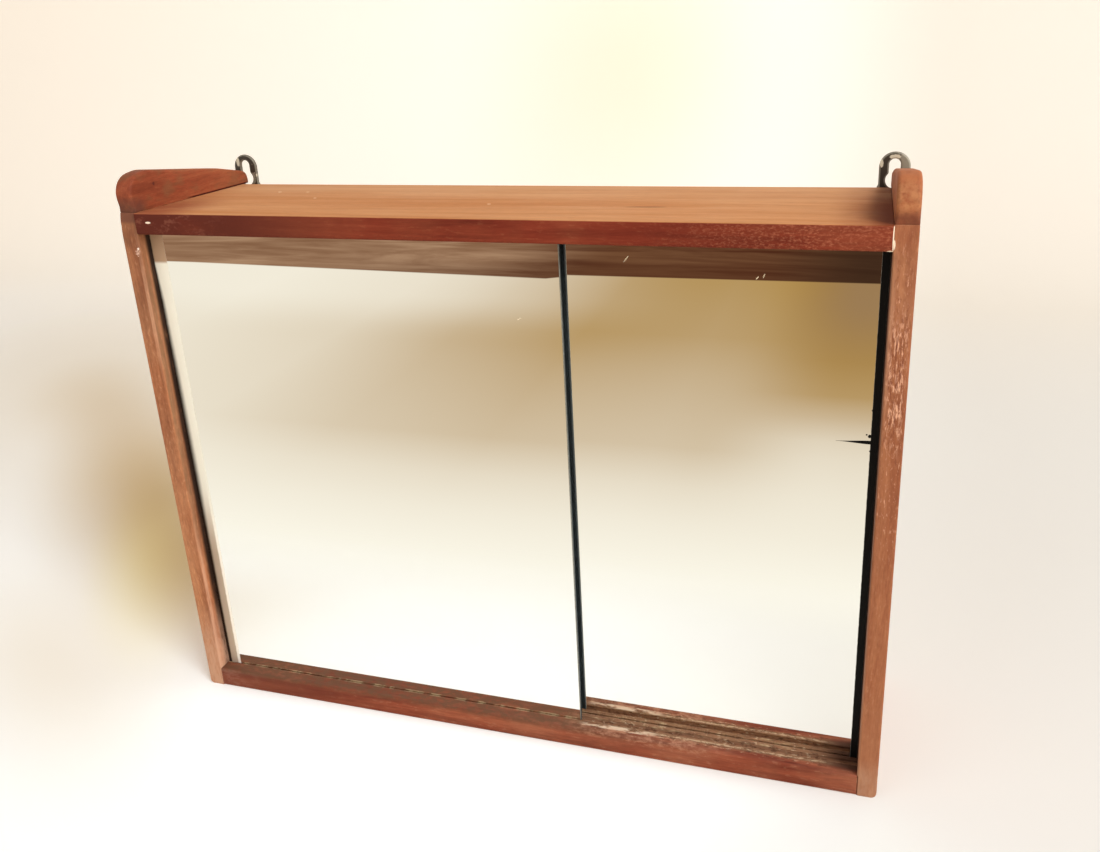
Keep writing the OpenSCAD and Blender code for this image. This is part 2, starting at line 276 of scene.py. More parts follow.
def teak(name, look):
    material, shader, place = newMaterial(name)
    sway = follow("ShaderNodeTexNoise", {"Vector": place, "Scale": look["sway"], "Detail": 1})
    bent = output("ShaderNodeVectorMath", {0: sway.outputs["Color"], 1: (look["bend"],) * 3, 2: place},
                  operation="MULTIPLY_ADD")
    board, thread, short = (stretched(bent, alongGrain(look["grain"], share), look["shift"])
                            for share in (0.07, 0.03, 0.3))
    figure = noiseOf(board, look["figure"], 5, 0.62, 0.4)
    fibres = noiseOf(thread, grain["fibres"], 3, 0.7)
    pores = follow("ShaderNodeTexVoronoi", {"Vector": thread, "Scale": grain["pores"]}).outputs["Distance"]
    grit = noiseOf(short, look["grit"], 3, 0.65)
    blotch = noiseOf(place, grain["blotches"], 3, 0.6)
    ramp = follow("ShaderNodeValToRGB", {0: figure})
    stops = ramp.color_ramp.elements
    stops[0].position, stops[0].color = grain["deepAt"], look["deep"]
    stops[1].position, stops[1].color = grain["paleAt"], look["pale"]
    stops.new(grain["midAt"]).color = look["mid"]
    colour = ramp.outputs[0]
    if "top" in look:  # the upper face gets paler colours of its own: painted light and sheen from above
        up = axesOf(addNode(shader.id_data, "ShaderNodeNewGeometry").outputs["Normal"])[2]
        high = follow("ShaderNodeValToRGB", {0: figure})
        ends = (grain["topDeepAt"], grain["paleAt"])
        for stop, where, shade in zip(high.color_ramp.elements, ends, look["top"]):
            stop.position, stop.color = where, shade
        colour = mixed(ranged(up, 0.55, 0.9), colour, high.outputs[0])
    colour = mixed(look["fibre"], colour, ranged(fibres, 0.3, 0.7, *grain["fibreShades"]), "MULTIPLY")
    colour = mixed(ranged(pores, 0, 0.16, look["pore"], 0), colour, look["deep"], "MULTIPLY")
    colour = mixed(ranged(blotch, 0.42, 0.66, 0, look["fade"]), colour, look["worn"])
    colour = mixed(look["pit"], colour, ranged(grit, 0.32, 0.52, *grain["pitShades"]), "MULTIPLY")
    colour = mixed(ranged(grit, 0.56, 0.7, 0, look["fleck"]), colour, look["worn"])
    rubbed = product(arrisOf(shader), ranged(noiseOf(place, grain["rubs"], 4, 0.7), 0.42, 0.62), look["rub"])
    colour = mixed(rubbed, colour, look["worn"])
    axes = axesOf(place)
    across = worked("ABSOLUTE", axes[0])
    for layer in look["layers"]:  # old dirt, dust and wear, and painted shade and light, inside soft boxes
        along = layer["along"]
        if not isinstance(along, tuple):
            along = alongGrain(look["grain"], along)
        patchy = noiseOf(stretched(place, along), layer["scale"], 4, 0.65)
        sides = [across if layer["bothSides"] else axes[0], axes[1], axes[2]]
        share = product(within(sides, layer["limits"]), ranged(patchy, *layer["patchy"]), layer["share"])
        colour = mixed(share, colour, layer["colour"])
    for mark in look["marks"]:
        shape = spot(place, mark["at"], mark["size"], mark["turn"], mark["ragged"])
        colour = mixed(product(shape, mark["share"]), colour, mark["colour"])
    feed(shader, "Base Color", colour)
    gloss = ranged(blotch, 0.3, 0.7, look["rough"] - 0.06, look["rough"] + 0.08)
    feed(shader, "Roughness", plus(gloss, product(fibres, 0.08)))
    shader.inputs["Specular IOR Level"].default_value = look["shine"]
    relief = plus(product(fibres, 0.4), ranged(pores, 0, 0.2, 0, 0.5))
    byHeight(shader, relief, grain["relief"], grain["reliefDepth"])
    return material


frameWood = {
    "grain": "Z", "figure": 70, "sway": 5, "bend": 0.018, "shift": (0.13, 0.4, 0.2),
    "deep": tone(136, 76, 48), "mid": tone(174, 110, 73), "pale": tone(194, 132, 92),
    "worn": tone(212, 160, 120), "fibre": 0.35, "pore": 0.45, "fade": 0.3, "rub": 0.5,
    "grit": 620, "pit": 0.3, "fleck": 0.35, "rough": 0.55, "shine": 0.2,
    "layers": [
        # painted shade: the corner in front of the glass, and the inner face darkening towards it
        wearAndPaintedLight((44, 28, 19), 1, 120, (0.2, 0.5, 0.75, 1), along=0.3, x=(None, 285.5, 0.2),
             y=(-71.3, None, 2.6), z=(None, 428.5, 1), bothSides=True),
        wearAndPaintedLight((112, 84, 60), 0.75, 160, (0.3, 0.6, 0.5, 1), along=0.2, x=(None, 285.6, 0.3),
             y=(-78.4, -72.6, 1.4), z=(150, 428.5, 60), bothSides=True),
        # the pale inner edge, partly rubbed and partly a painted highlight: on the front above, round the
        # corner below
        wearAndPaintedLight((224, 172, 138), 0.75, 420, (0.25, 0.55, 0.35, 0.9), along=0.08, x=(285.2, 287.9, 0.5),
             y=(None, -77.7, 0.6), z=(335, 406, 45), bothSides=True),
        wearAndPaintedLight((204, 156, 128), 0.6, 300, (0.25, 0.55, 0.3, 1), along=0.08, x=(None, 286, 0.4),
             y=(-79, -75.2, 1.2), z=(None, 150, 50), bothSides=True),
        # the right side board is a little darker, with a weathered patch
        wearAndPaintedLight((130, 70, 46), 0.55, 60, (0.3, 0.6, 0.6, 1), along=0.3, **rightBoard),
        wearAndPaintedLight((226, 172, 142), 0.8, 1000, (0.5, 0.6), along=0.16, x=(286.5, 297.5, 1.6), z=(298, 382, 20),
             **boardFront),
        wearAndPaintedLight((104, 44, 30), 0.65, 800, (0.5, 0.62), along=(0.9, 1, 0.15), x=(286.5, 298.5, 1.6),
             z=(298, 382, 20), **boardFront),
        wearAndPaintedLight((220, 166, 136), 0.55, 700, (0.58, 0.66), along=0.25, x=(285.5, None, 2), z=(215, 432, 30),
             **boardFront),
        wearAndPaintedLight((110, 56, 38), 0.5, 500, (0.56, 0.66), along=0.3, x=(285.5, None, 2), z=(260, 436, 40),
             **boardFront),
        wearAndPaintedLight((182, 146, 122), 0.45, 200, (0.3, 0.6, 0.5, 1), along=0.4, y=(None, -76, 1), z=(None, 26, 12),
             **rightBoard),
        # greyed foot of the left one, and its top darker under the ear: painted shade
        wearAndPaintedLight((198, 154, 128), 0.8, 240, (0.3, 0.58, 0.35, 1), along=0.3, z=(None, 60, 35), **leftBoard),
        wearAndPaintedLight((104, 54, 44), 0.85, 160, (0.2, 0.5, 0.7, 1), along=0.5, y=(None, -72.5, 4),
             z=(437.2, None, 1.6), **leftBoard),
        wearAndPaintedLight((112, 72, 50), 0.5, 160, (0.3, 0.6, 0.5, 1), along=0.5, y=(None, -72.5, 4), z=(423, None, 12),
             **leftBoard),
        # a darker stain on the upper front of the left one
        wearAndPaintedLight((116, 72, 50), 0.45, 110, (0.35, 0.6, 0.2, 1), along=0.4, y=(None, -77.8, 0.5),
             z=(350, None, 40), **leftBoard),
        # end of the bottom board: no light line in the joint
        wearAndPaintedLight((120, 70, 52), 0.8, 300, (0.2, 0.5, 0.5, 1), x=(284, 285.8, 0.3), z=(None, 18, 1),
             bothSides=True),
    ],
    "marks": [
        dab((255, 246, 230), (285.2, -78.5, 441.5), (1.2, 1.8, 4.2)),
        dab((250, 234, 214), (285.2, -78.5, 433), (1, 1.8, 3.8)),
        dab((250, 236, 225), (-286.8, -78.5, 416.6), (1, 1.2, 1), ragged=3),
        dab((228, 190, 170), (-288, -78.5, 413), (1.6, 1.2, 1.8), share=0.7, ragged=6),
    ],
}

shelfWood = {
    "grain": "X", "figure": 60, "sway": 4, "bend": 0.02, "shift": (0.31, 0.17, 0.53),
    "deep": tone(96, 34, 24), "mid": tone(124, 50, 34), "pale": tone(142, 66, 46),
    # the upper face's own paler colours: painted light and sheen from above
    "top": (tone(196, 130, 82), tone(212, 154, 108)),
    "worn": tone(206, 142, 98), "fibre": 0.2, "pore": 0.25, "fade": 0.08, "rub": 0.35,
    "grit": 420, "pit": 0.12, "fleck": 0.06, "rough": 0.6, "shine": 0.06,
    "layers": [
        wearAndPaintedLight((88, 39, 30), 0.95, 60, (0.2, 0.5, 0.7, 1), along=0.4, x=(None, -140, 70), **shelfFront),
        wearAndPaintedLight((138, 82, 66), 0.5, 160, (0.5, 0.68), along=0.6, x=(None, -220, 30), **shelfFront),
        wearAndPaintedLight((182, 112, 84), 0.5, 900, (0.45, 0.72), along=0.5, x=(170, None, 70), **shelfFront),
        wearAndPaintedLight((154, 86, 60), 0.9, 90, (0.2, 0.55, 0.6, 1), along=0.4, x=(None, -248, 24), y=(None, -18, 30),
             **shelfTop),
        # painted shadow of the right ear on the shelf's right end
        wearAndPaintedLight((134, 68, 40), 0.7, 60, (0.2, 0.6, 0.5, 1), along=0.4, x=(258, None, 18), **shelfTop),
        wearAndPaintedLight((108, 46, 26), 0.85, 60, (0.2, 0.6, 0.75, 1), along=0.4, x=(274, None, 8), **shelfTop),
        wearAndPaintedLight((216, 168, 128), 0.4, 40, (0.3, 0.6, 0.5, 1), along=0.4, y=(20, None, 35), **shelfTop),
        wearAndPaintedLight((140, 96, 62), 0.6, 60, (0.2, 0.6, 0.5, 1), along=0.3, y=(75, None, 0.4), z=(444, None, 0.4)),
    ],
    "marks": [
        dab((70, 34, 24), (114.6, -25.7, 445), (15.5, 0.8, 1), turn=0.06),
        dab((245, 226, 205), (-272.8, -78.5, 437.8), (2.4, 1, 0.8)),
        dab(paleFleck, (-219.5, 25, 445), (1.6, 1.4, 1)),
        dab(paleFleck, (-192.7, 26, 445), (1.6, 1, 1)),
        dab(paleFleck, (-168.7, -2.5, 445), (1.2, 1.2, 1)),
        dab(paleFleck, (-7.7, -20.8, 445), (1.5, 1, 1)),
        dab((240, 224, 204), (283.5, -76.5, 428.5), (3.5, 2, 1)),
        dab((246, 228, 206), (284.8, -78.5, 437.2), (0.5, 1.2, 8.5)),
    ],
}

bottomWood = {
    "grain": "X", "figure": 75, "sway": 4, "bend": 0.02, "shift": (0.71, 0.27, 0.11),
    "deep": tone(98, 40, 28), "mid": tone(138, 68, 47), "pale": tone(158, 88, 62),
    "worn": tone(186, 142, 112), "fibre": 0.3, "pore": 0.4, "fade": 0.15, "rub": 0.45,
    "grit": 380, "pit": 0.2, "fleck": 0.16, "rough": 0.6, "shine": 0.12,
    "layers": [
        # grime on the upper face that runs over the front edge, paler at the right
        wearAndPaintedLight((96, 66, 48), 0.9, 210, (0.34, 0.58, 0.4, 1), along=0.6, x=(None, 80, 40),
             y=(-79.5, None, 0.8), z=(15, None, 3.4)),
        wearAndPaintedLight((122, 92, 68), 0.85, 200, (0.2, 0.55, 0.65, 1), along=0.4, x=(60, None, 30),
             y=(-71.5, None, 1.6), z=(16, None, 0.6)),
        # the groove walls and floor: dust, and painted paler against the shade in the grooves
        wearAndPaintedLight((152, 114, 88), 0.95, 160, (0.2, 0.55, 0.7, 1), along=0.3, x=(20, None, 20),
             y=(-67.6, None, 0.2), z=(None, 17, 0.5)),
        # dark and pale specks in the open grooves
        wearAndPaintedLight((74, 48, 36), 0.6, 430, (0.5, 0.62), along=0.45, x=(60, 262, 4), y=(-74, -56, 1),
             z=(13, None, 0.6)),
        wearAndPaintedLight((204, 178, 146), 0.55, 560, (0.57, 0.66), along=(0.35, 1, 0.8), x=(60, 262, 4),
             y=(-73.5, -56, 1), z=(13, None, 0.6)),
        # dust along the glass
        wearAndPaintedLight((176, 152, 118), 0.75, 170, (0.46, 0.62), along=(0.45, 0.6, 1), x=(None, 60, 4),
             y=(-68, -66.8, 0.3), z=(15.2, None, 0.6)),
        wearAndPaintedLight((214, 192, 168), 0.8, 240, (0.38, 0.56), along=0.3, x=(66, 125, 8), y=(-72.6, -68.3, 0.8),
             z=(16.6, None, 0.6)),
        wearAndPaintedLight((192, 164, 134), 0.7, 330, (0.44, 0.58), along=0.5, x=(120, 262, 12), y=(-70, -68.2, 0.4),
             z=(16.6, None, 0.6)),
        wearAndPaintedLight((176, 154, 120), 0.45, 260, (0.5, 0.64), along=(0.3, 0.8, 1), x=(50, 240, 30),
             y=(-62.5, -56, 0.8), z=(16.5, None, 0.6)),
        wearAndPaintedLight((190, 140, 112), 0.5, 240, (0.42, 0.66), along=0.5, x=(60, 170, 30), y=(None, -70, 2),
             z=(13, None, 2.5)),
        # darker towards the right end: painted shade in the corner
        wearAndPaintedLight((62, 34, 26), 0.8, 120, (0.2, 0.5, 0.6, 1), along=0.4, x=(262, None, 14), y=(-74.5, None, 3),
             z=(16, None, 1)),
        # front face darker at the left, greyed at the end
        wearAndPaintedLight((104, 48, 34), 0.6, 120, (0.2, 0.55, 0.6, 1), along=0.4, x=(None, -150, 50),
             y=(None, -77.8, 0.6), z=(None, 15.5, 1)),
        wearAndPaintedLight((164, 118, 102), 0.3, 200, (0.42, 0.6, 0.2, 1), along=0.5, x=(None, -255, 30),
             y=(None, -77.8, 0.6), z=(None, 18, 1)),
    ],
    "marks": [],
}

earWood = {
    "grain": "Y", "figure": 60, "sway": 7, "bend": 0.02, "shift": (0.9, 0.1, 0.33),
    "deep": tone(118, 54, 34), "mid": tone(146, 72, 46), "pale": tone(166, 94, 62),
    "worn": tone(190, 126, 86), "fibre": 0.3, "pore": 0.35, "fade": 0.2, "rub": 0.3,
    "grit": 300, "pit": 0.25, "fleck": 0.15, "rough": 0.6, "shine": 0.14,
    "layers": [
        # browner clouds, painted shade at the foot under the nose, and a painted shadow along the joint
        # behind it
        wearAndPaintedLight((122, 84, 56), 0.5, 55, (0.44, 0.62), along=0.6, **leftEar),
        wearAndPaintedLight((92, 56, 46), 0.85, 130, (0.25, 0.6, 0.5, 1), y=(None, -65.5, 7), z=(None, 454.5, 5),
             **leftEar),
        wearAndPaintedLight((104, 62, 46), 0.7, 130, (0.25, 0.6, 0.5, 1), x=(0, None, 1), y=(None, -65.5, 7),
             z=(None, 453, 5)),
        wearAndPaintedLight((184, 126, 84), 0.75, 180, (0.3, 0.65, 0.25, 1), y=(None, -70, 4), z=(453, None, 4),
             **rightEar),
        wearAndPaintedLight((120, 76, 52), 0.4, 260, (0.5, 0.66), y=(None, -76, 2.5), **rightEar),
        wearAndPaintedLight((190, 120, 76), 0.5, 120, (0.25, 0.6, 0.4, 1), along=0.4, y=(-70, None, 4), **rightEar),
        # painted contact shadow along the joint between the ears and the shelf
        wearAndPaintedLight((70, 16, 8), 1, 120, (0.2, 0.5, 0.75, 1), along=0.4, y=(-10, None, 6), z=(None, 446.3, 0.3)),
    ],
    "marks": [
        dab((80, 36, 26), (-284, -50, 464), (3, 1.4, 1.4), share=0.8, ragged=1.5),
    ],
}

innerWood = {
    "grain": "X", "figure": 75, "sway": 4, "bend": 0.02, "shift": (0.2, 0.77, 0.41),
    "deep": tone(128, 76, 50), "mid": tone(170, 112, 76), "pale": tone(196, 140, 100),
    "worn": tone(205, 158, 122), "fibre": 0.35, "pore": 0.5, "fade": 0.3, "rub": 0.4,
    "grit": 500, "pit": 0.2, "fleck": 0.1, "rough": 0.55, "shine": 0.25,
    "layers": [],
    "marks": [],
}

woods = {"frame": frameWood, "shelf": shelfWood, "bottom": bottomWood, "ear": earWood, "inner": innerWood}
teaks = {key: teak(key + "Teak", look) for key, look in woods.items()}


def plainWood(name, look):  # plywood and beech: pale, close grained and dry
    material, shader, place = newMaterial(name)
    board = stretched(place, look["along"])
    figure = noiseOf(board, look["figure"], 5, 0.6, 0.5)
    stain = noiseOf(place, 6, 4, 0.6)
    colour = mixed(ranged(figure, 0.3, 0.7), look["dark"], look["light"])
    colour = mixed(ranged(stain, 0.5, 0.75, 0, look["stain"]), colour, look["dark"], "MULTIPLY")
    feed(shader, "Base Color", colour)
    feed(shader, "Roughness", ranged(figure, 0.3, 0.7, 0.72, 0.58))
    byHeight(shader, figure, 0.25, 0.0003)
    return material


plainWoods = {
    "panelPly": {"along": (1, 1, 0.05), "figure": 120, "stain": 0.6,
                 "dark": tone(160, 122, 82), "light": tone(205, 170, 125)},
    "dowelBeech": {"along": (0.1, 0.1, 1), "figure": 300, "stain": 0.2,
                   "dark": tone(178, 140, 100), "light": tone(214, 182, 142)},
}
panelPly, dowelBeech = (plainWood(name, plainWoods[name]) for name in ("panelPly", "dowelBeech"))
print("woods made")


# Metal

def agedMetal(name, look):
    material, shader, place = newMaterial(name)
    cloud = noiseOf(place, look["cloud"], 4, 0.65)
    grit = noiseOf(place, 2200, 2, 0.6)
    rubbed = plus(ranged(cloud, look["bare"], look["bare"] + 0.12), product(arrisOf(shader), look["rub"]))
    # bare worn metal, and painted highlights
    for (x, z), (wide, tall), share in look.get("bareSpotsAndGlints", []):
        shape = spot(place, (x, 0.0755, z), (wide, 0.003, tall), ragged=0.9)
        rubbed = larger(rubbed, product(shape, share))
    rubbed = worked("MINIMUM", rubbed, 1)
    feed(shader, "Base Color", mixed(rubbed, look["dark"], look["bright"]))
    feed(shader, "Metallic", ranged(rubbed, 0, 1, look["darkMetal"], look["brightMetal"]))
    feed(shader, "Roughness", ranged(grit, 0.3, 0.7, look["rough"] - 0.08, look["rough"] + 0.1))
    byHeight(shader, grit, 0.12, 0.0001)
    return material


metals = {
    "hanger": {"cloud": 160, "bare": 0.60, "rub": 0.22, "rough": 0.4, "darkMetal": 0.15, "brightMetal": 0.35,
               "dark": tone(52, 44, 34), "bright": tone(214, 206, 184),
               "bareSpotsAndGlints": [  # worn bare metal, partly painted highlights: X and Z on the plate, half sizes, share
                   ((-0.2938, 0.464), (0.0016, 0.0042), 0.9),
                   ((-0.2795, 0.449), (0.0022, 0.0050), 0.4),
                   ((0.2868, 0.4668), (0.0040, 0.0018), 1),
                   ((0.2772, 0.4618), (0.0013, 0.0030), 1),
                   ((0.2945, 0.4620), (0.0050, 0.0085), 0.35),
               ]},
    "screw": {"cloud": 700, "bare": 0.5, "rub": 0.4, "rough": 0.4, "darkMetal": 0.9, "brightMetal": 1,
              "dark": tone(120, 110, 98), "bright": tone(190, 184, 174)},
    "nail": {"cloud": 600, "bare": 0.55, "rub": 0.4, "rough": 0.45, "darkMetal": 0.8, "brightMetal": 1,
             "dark": tone(112, 100, 88), "bright": tone(176, 168, 156)},
    "brass": {"cloud": 400, "bare": 0.45, "rub": 0.5, "rough": 0.32, "darkMetal": 0.95, "brightMetal": 1,
              "dark": tone(166, 126, 68), "bright": tone(222, 186, 112)},
}
steels = {key: agedMetal(key + "Metal", look) for key, look in metals.items()}
print("metals made")


# Mirror glass

mirror = {
    "silver": tone(246, 245, 240),
    "haze": 0.009,
    "cornerRadius": 0.0015,
    "arris": 0.0004,
    "palerTo": 0.0009,  # the edge is paler next to the front: a painted highlight
    "raggedScale": 420,
    "cloudRagged": 0.0016,
    "cloudSoft": 0.0001,
    "greySoft": 0.0006,
    "paleMark": tone(214, 196, 168),
}
lostSilver = {  # measured in from the door's outer edge
    "front": {
        "start": [(0.0136, 0.0024), (0.145, 0.0014), (0.207, 0.0006), (0.37, 0.0003), (0.402, 0), (0.434, 0)],
        "fade": [(0.0136, 0.0014), (0.145, 0.0034), (0.207, 0.0062), (0.30, 0.0058), (0.37, 0.0042),
                 (0.402, 0.0016), (0.434, 0.0014)],
        "ragged": 0.0005, "colour": tone(40, 26, 18),
        # the dull band beside the edge, and the reflection painted on it
        "cloud": {"reach": 0.0128, "low": tone(176, 155, 132), "high": tone(241, 239, 227),
                  "clearLow": tone(252, 248, 238), "lowReach": 0.0100, "band": tone(178, 148, 122),
                  "turn": (0.13, 0.21), "bandFrom": (0.4014, 0.4044), "share": (0.85, 1)},
        "specks": [],
        "pale": [{"at": (0.0282, 0.3692), "size": (0.0016, 0.0005), "turn": 0.5}],
    },
    "rear": {
        "start": [(0, 0.0052), (0.44, 0.0052)], "fade": [(0, 0.0004), (0.44, 0.0004)],
        "ragged": 0.0003, "colour": tone(18, 16, 15),
        "spike": {"tip": (0.2559, 0.2876), "root": (0.2800, 0.2879), "half": 0.0014},
        "specks": [(0.2787, 0.2926, 0.0013), (0.2765, 0.2936, 0.0006), (0.2795, 0.2812, 0.0007),
                   (0.2794, 0.3120, 0.0006)],
        "pale": [{"at": (0.1076, 0.4141), "size": (0.0028, 0.0004), "turn": 0.9},
                 {"at": (0.1991, 0.4033), "size": (0.0014, 0.0004), "turn": 0.9},
                 {"at": (0.2035, 0.4048), "size": (0.0016, 0.0004), "turn": 1.2}],
    },
}
glasses = {
    "glassEdge": {"colour": tone(17, 30, 37), "rough": 0.5},
    "glassArris": {"colour": tone(78, 78, 72), "rough": 0.35},
    "backPaint": {"colour": tone(22, 32, 38), "rough": 0.6},
    # painted highlight: the pale strip on the glass edge next to the front
    "palerEdge": {"colour": tone(150, 146, 130), "rough": 0.45},
}


def mirrorSilver(name, node, lost):
    material, shader, place = newMaterial(name)
    across, _, height = axesOf(place)
    low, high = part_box(node)
    inward = minus(across, low.x) if node == "front_door" else minus(high.x, across)
    ragged = minus(noiseOf(stretched(place, (1, 1, 0.5)), mirror["raggedScale"], 4, 0.75), 0.5)
    border = plus(inward, product(ragged, lost["ragged"] * 2))
    past = minus(border, curved(height, lost["start"]))
    past = worked("DIVIDE", past, curved(height, lost["fade"]))  # it fades out over that width
    gone = ranged(past, 0, 1, 1, 0)
    for x, z, radius in lost["specks"]:
        gone = larger(gone, spot(place, (x, low.y, z), (radius, 0.001, radius), ragged=0.8))
    if "spike" in lost:
        (tipX, tipZ), (rootX, rootZ) = lost["spike"]["tip"], lost["spike"]["root"]
        half = ranged(across, tipX, rootX, 0.0001, lost["spike"]["half"])
        middle = output("ShaderNodeMapRange", {"Value": across, "From Min": tipX, "From Max": rootX,
                                               "To Min": tipZ, "To Max": rootZ})
        off = worked("ABSOLUTE", minus(height, middle))
        spike = product(worked("LESS_THAN", off, half), worked("GREATER_THAN", across, tipX))
        gone = larger(gone, spike)
    colour, bare = mirror["silver"], gone
    if "cloud" in lost:  # the silvering beside the edge is dull, with a painted reflection in its place: pale, grey-brown near the edge low down, brown at the top
        look = lost["cloud"]
        reach = plus(inward, product(ragged, mirror["cloudRagged"]))
        cloud, grey = (ranged(reach, look[key] - soft, look[key] + soft, 1, 0)
                       for key, soft in (("reach", mirror["cloudSoft"]), ("lowReach", mirror["greySoft"])))
        cloud = product(cloud, ranged(height, *look["turn"], *look["share"]))
        grey = product(grey, ranged(height, *look["turn"], 1, 0))
        tint = mixed(ranged(height, *look["turn"]), look["clearLow"], look["high"])
        tint = mixed(grey, tint, look["low"])
        tint = mixed(ranged(height, *look["bandFrom"]), tint, look["band"])
        colour, bare = mixed(cloud, colour, tint), larger(gone, cloud)
    for mark in lost["pale"]:
        (x, z), (long, short) = mark["at"], mark["size"]
        shape = spot(place, (x, low.y, z), (long, 0.001, short), (0, -mark["turn"], 0), 0.4)
        colour, bare = mixed(shape, colour, mirror["paleMark"]), larger(bare, shape)
    feed(shader, "Base Color", mixed(gone, colour, lost["colour"]))
    feed(shader, "Metallic", minus(1, bare))
    feed(shader, "Specular IOR Level", ranged(bare, 0, 1, 0.5, 0.1))
    haze = noiseOf(stretched(place, (3, 1, 0.6)), 9, 4, 0.7)
    feed(shader, "Roughness", plus(ranged(haze, 0.5, 0.8, 0, mirror["haze"]), product(bare, 0.5)))
    return material


def groundGlass(name, look):
    material, shader, place = newMaterial(name)
    dust = noiseOf(place, 500, 3, 0.6)
    paler = [channel * 1.7 for channel in look["colour"]]
    feed(shader, "Base Color", mixed(ranged(dust, 0.3, 0.7), look["colour"], paler))
    feed(shader, "Roughness", ranged(dust, 0.3, 0.7, look["rough"] - 0.05, look["rough"] + 0.1))
    byHeight(shader, dust, 0.1, 0.0001)
    return material


silvers = {key: mirrorSilver(key + "Silver", key + "_door", lost) for key, lost in lostSilver.items()}
finishes = [groundGlass(name, look) for name, look in glasses.items()]  # material slots 1 to 4 of a door


def roundedOutline(low, high, radius, steps=5):  # corners of a rounded rectangle in X and Z
    points = []
    for turn, (x, z) in enumerate(((high.x, high.z), (low.x, high.z), (low.x, low.z), (high.x, low.z))):
        centreX = x - radius if x == high.x else x + radius
        centreZ = z - radius if z == high.z else z + radius
        for step in range(steps + 1):
            angle = math.radians(90 * (turn + step / steps))
            points.append((centreX + radius * math.cos(angle), centreZ + radius * math.sin(angle)))
    return points


def bridged(mesh, near, far, material=0):  # a band of faces between two rings of corners
    for index in range(len(near)):
        after = (index + 1) % len(near)
        mesh.faces.new((near[index], near[after], far[after], far[index])).material_index = material


def mirrorDoor(node, silver):
    low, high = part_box(node)
    arris = mirror["arris"]
    inset = Vector((arris, 0, arris))
    outer = roundedOutline(low, high, mirror["cornerRadius"])
    inner = roundedOutline(low + inset, high - inset, mirror["cornerRadius"] - arris)
    mesh = bmesh.new()
    rings = [
        [mesh.verts.new((x, y, z)) for x, z in outline]
        for outline, y in ((inner, low.y), (outer, low.y + arris), (outer, low.y + mirror["palerTo"]),
                           (outer, high.y - arris), (inner, high.y))
    ]
    for near, far, material in zip(rings, rings[1:], (2, 4, 1, 3)):
        bridged(mesh, near, far, material)
    mesh.faces.new(rings[0]).material_index = 0
    mesh.faces.new(rings[4]).material_index = 3
    bmesh.ops.recalc_face_normals(mesh, faces=mesh.faces)
    name = node + "_mirror"
    setPiece(name, meshOf(mesh, name), node, [silver, *finishes], [node])


mirrorDoor("front_door", silvers["front"])
mirrorDoor("rear_door", silvers["rear"])
print("mirror doors made")


# Boards and plates: the same shape as the frame's, with their sharp edges taken off

softening = {
    "left_side right_side": {"width": 0.0006, "slot": "frame_teak", "material": teaks["frame"]},
    "top_board": {"width": 0.0006, "slot": "shelf_teak", "material": teaks["shelf"]},
    "bottom_board": {"width": 0.0005, "slot": "bottom_teak", "material": teaks["bottom"]},
    "lower_shelf upper_shelf": {"width": 0.0008, "slot": "inner_shelf_teak", "material": teaks["inner"]},
    "left_hanger right_hanger": {"width": 0.0012, "slot": "hanger_steel", "material": steels["hanger"],
                                 "shortest": 0},
}
shortestEdge = 0.003  # shorter ones stay sharp


def byScrew(edge, node):  # the rims of the countersunk holes stay sharp
    if node + "_screws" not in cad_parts:
        return False
    low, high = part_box(node + "_screws")
    reach = (high.z - low.z) / 2
    height = low.z + reach
    return any(
        all(math.hypot(vertex.co.x - x, vertex.co.z - height) < reach + 0.0009 for vertex in edge.verts)
        for x in (low.x + reach, high.x - reach)
    )


def shaded(mesh, limit, rounded=()):  # smooth, with hard edges where it turns by more than the limit
    for face in mesh.faces:
        face.smooth = True
    for edge in mesh.edges:
        if len(edge.link_faces) == 2:
            alike = len([face for face in edge.link_faces if face in rounded]) != 1
            edge.smooth = edge.calc_face_angle() < math.radians(limit) and alike


def softenedCopy(node, look):
    mesh = mergedCopy(node)
    bmesh.ops.dissolve_limit(mesh, angle_limit=math.radians(0.3), verts=mesh.verts, edges=mesh.edges)
    arris = mesh.faces.layers.float.new("arris")
    shortest = look.get("shortest", shortestEdge)
    sharp = [
        edge for edge in mesh.edges
        if len(edge.link_faces) == 2 and edge.calc_face_angle() > math.radians(40)
        and edge.calc_length() > shortest and not byScrew(edge, node)
    ]
    made = bmesh.ops.bevel(mesh, geom=sharp, offset=look["width"], offset_type="OFFSET", segments=3,
                           profile=0.5, affect="EDGES", clamp_overlap=False)["faces"]
    for face in made:
        face[arris] = 1.0
    shaded(mesh, 32, set(made))
    name = node + "_finished"
    setPiece(name, meshOf(mesh, name), "cabinet", [look["material"]], [node])


for nodes, look in softening.items():
    for node in nodes.split():
        softenedCopy(node, look)
print("boards and plates softened")


# Carved ears: one outline rolled over four wheels, with edges that are rounder at the nose

ear = {
    "nose": (0.0169, 0.013, 0.0165),  # from the front edge, above the side board, radius
    "crest": (0.0245, 0.01625, 0.01425),
    "belly": (0.10994, 0.00735, 0.012),
    "tail": (0.14656, 0.00456, 0.00744),
    "foot": (0.003, 0.1522),
    "noseRound": 0.0026,
    "tailRound": 0.0022,
    "footRound": 0.0003,
    "footLift": 0.005,  # the edges reach their full rounding this far above the side board
    "points": 200,
    "rings": 6,
}


def convexOutline(points):  # counter-clockwise hull
    def oneSide(ordered):
        chain = []
        for point in ordered:
            while len(chain) > 1:
                (ax, ay), (bx, by) = chain[-2], chain[-1]
                if (bx - ax) * (point[1] - ay) - (by - ay) * (point[0] - ax) > 0:
                    break
                chain.pop()
            chain.append(point)
        return chain[:-1]
    ordered = sorted(set(points))
    return oneSide(ordered) + oneSide(ordered[::-1])


